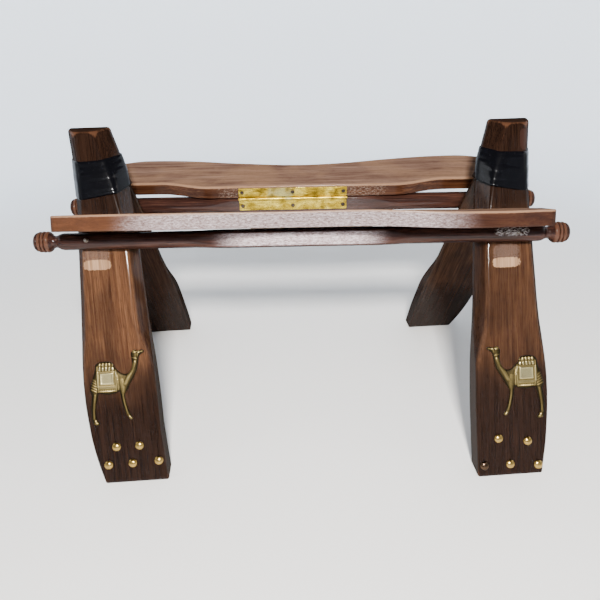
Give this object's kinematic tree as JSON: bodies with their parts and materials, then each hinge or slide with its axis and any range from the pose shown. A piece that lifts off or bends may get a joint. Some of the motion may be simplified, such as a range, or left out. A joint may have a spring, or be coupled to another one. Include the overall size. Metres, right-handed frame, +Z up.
{
  "type": "camel saddle footstool frame",
  "caption": "Low saddle footstool frame with splayed A-shaped horned ends, turned rails with ringed knobs, and hinged wavy seat boards; cushion absent.",
  "frame": {"origin": "centre of the bounding box, on the floor", "axes": "+X along the rails to the right seen from the front, +Y to the back, +Z up"},
  "size_m": [0.6124, 0.3704, 0.36],
  "materials": {
    "leg_wood": "worn gloss varnish",
    "rail_wood": "worn gloss varnish",
    "board_wood": "satin varnish with rubbed edges",
    "dowel_wood": "plain",
    "hinge_brass": "aged, with green patches",
    "tack_brass": "polished domes",
    "antique_brass": "antiqued",
    "steel": "dull",
    "tape": "glossy"
  },
  "bodies": {
    "frame": {"leg_front_left": "leg_wood", "nail_front_left": "steel", "camel_front_left": "antique_brass", "tack_front_left_1": "tack_brass", "tack_front_left_2": "tack_brass", "tack_front_left_3": "tack_brass", "tack_front_left_4": "tack_brass", "tack_front_left_5": "tack_brass", "leg_back_left": "leg_wood", "nail_back_left": "steel", "camel_back_left": "antique_brass", "tack_back_left_1": "tack_brass", "tack_back_left_2": "tack_brass", "tack_back_left_3": "tack_brass", "tack_back_left_4": "tack_brass", "tack_back_left_5": "tack_brass", "leg_dowel_left": "dowel_wood", "tape_left": "tape", "leg_front_right": "leg_wood", "nail_front_right": "steel", "camel_front_right": "antique_brass", "tack_front_right_1": "tack_brass", "tack_front_right_2": "tack_brass", "tack_front_right_3": "tack_brass", "tack_front_right_4": "tack_brass", "tack_front_right_5": "tack_brass", "leg_back_right": "leg_wood", "nail_back_right": "steel", "camel_back_right": "antique_brass", "tack_back_right_1": "tack_brass", "tack_back_right_2": "tack_brass", "tack_back_right_3": "tack_brass", "tack_back_right_4": "tack_brass", "tack_back_right_5": "tack_brass", "leg_dowel_right": "dowel_wood", "tape_right": "tape", "rail_front": "rail_wood", "hinge_pin_front": "hinge_brass", "hinge_leaf_rail_front": "hinge_brass", "screw_rail_front_left": "steel", "screw_rail_front_middle": "steel", "screw_rail_front_right": "steel", "rail_back": "rail_wood", "hinge_pin_back": "hinge_brass", "hinge_leaf_rail_back": "hinge_brass", "screw_rail_back_left": "steel", "screw_rail_back_middle": "steel", "screw_rail_back_right": "steel"},
    "front_board": {"seat_board_front": "board_wood", "hinge_leaf_board_front": "hinge_brass", "screw_board_front_left": "steel", "screw_board_front_middle": "steel", "screw_board_front_right": "steel"},
    "back_board": {"seat_board_back": "board_wood", "hinge_leaf_board_back": "hinge_brass", "screw_board_back_left": "steel", "screw_board_back_middle": "steel", "screw_board_back_right": "steel"}
  },
  "joints": [
    {"name": "front_board_hinge", "type": "hinge", "parent": "frame", "child": "front_board", "pos_m": [0, -0.04655, 0.25761], "axis": [-1, 0, 0], "range_deg": [-3, 38]},
    {"name": "back_board_hinge", "type": "hinge", "parent": "frame", "child": "back_board", "pos_m": [0, 0.04716, 0.26139], "axis": [1, 0, 0], "range_deg": [-15, 48]}
  ]
}
